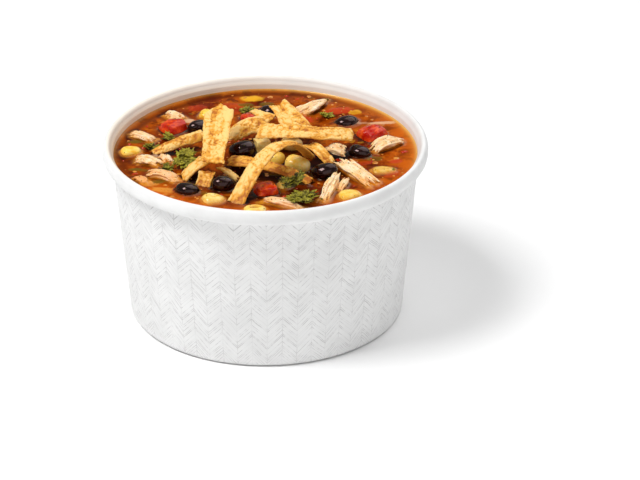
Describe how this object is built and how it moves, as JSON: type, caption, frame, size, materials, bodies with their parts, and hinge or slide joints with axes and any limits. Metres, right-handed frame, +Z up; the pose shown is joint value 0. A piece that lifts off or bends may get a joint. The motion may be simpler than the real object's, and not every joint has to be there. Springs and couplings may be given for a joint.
{
  "type": "chicken tortilla soup",
  "caption": "Round tapered paper bowl with a rolled rim, filled near its rim with broth that carries fried tortilla strips, pulled chicken, black beans, sweetcorn, tomato and herb leaves.",
  "frame": {"origin": "centre of the bowl's base, on the surface it stands on", "axes": "+Z up along the bowl's axis; -Y towards the viewer in the picture, +X to the viewer's right"},
  "size_m": [0.15, 0.15, 0.0992],
  "materials": {
    "paper": "matte coated board",
    "broth": "wet",
    "tortilla": "fried, blistered",
    "chicken": "moist",
    "black_bean": "glossy",
    "corn": "wet",
    "tomato": "wet",
    "herb": "leafy",
    "potato": "moist"
  },
  "bodies": {
    "root": {"bean_arch": "black_bean", "bean_back": "black_bean", "bean_back_right": "black_bean", "bean_front": "black_bean", "bean_left": "black_bean", "bean_middle": "black_bean", "bean_right": "black_bean", "bean_tall_strip": "black_bean", "bowl_floor": "paper", "bowl_wall": "paper", "broth": "broth", "chicken_back": "chicken", "chicken_bit": "chicken", "chicken_chunk": "chicken", "chicken_flat": "chicken", "chicken_front": "chicken", "chicken_front_left": "chicken", "chicken_left": "chicken", "chicken_long": "chicken", "chicken_pink": "chicken", "chicken_right": "chicken", "chicken_upright": "chicken", "chicken_upright_thin": "chicken", "chicken_wedge": "chicken", "corn_back": "corn", "corn_behind": "corn", "corn_front": "corn", "corn_front_right": "corn", "corn_herb": "corn", "corn_left": "corn", "corn_right": "corn", "corn_rim": "corn", "hominy_arch": "corn", "hominy_behind": "corn", "hominy_under": "corn", "leaf_back": "herb", "leaf_behind": "herb", "leaf_big": "herb", "leaf_far_left": "herb", "leaf_front": "herb", "leaf_front_top": "herb", "leaf_left": "herb", "leaf_side": "herb", "potato_cube": "potato", "strip_arch": "tortilla", "strip_back_arc": "tortilla", "strip_crumpled": "tortilla", "strip_folded": "tortilla", "strip_left_leg": "tortilla", "strip_long": "tortilla", "strip_prong": "tortilla", "strip_short_leg": "tortilla", "strip_small": "tortilla", "strip_tall": "tortilla", "strip_under": "tortilla", "strip_wide": "tortilla", "tomato_back": "tomato", "tomato_front": "tomato", "tomato_left": "tomato", "tomato_right": "tomato"}
  },
  "joints": []
}
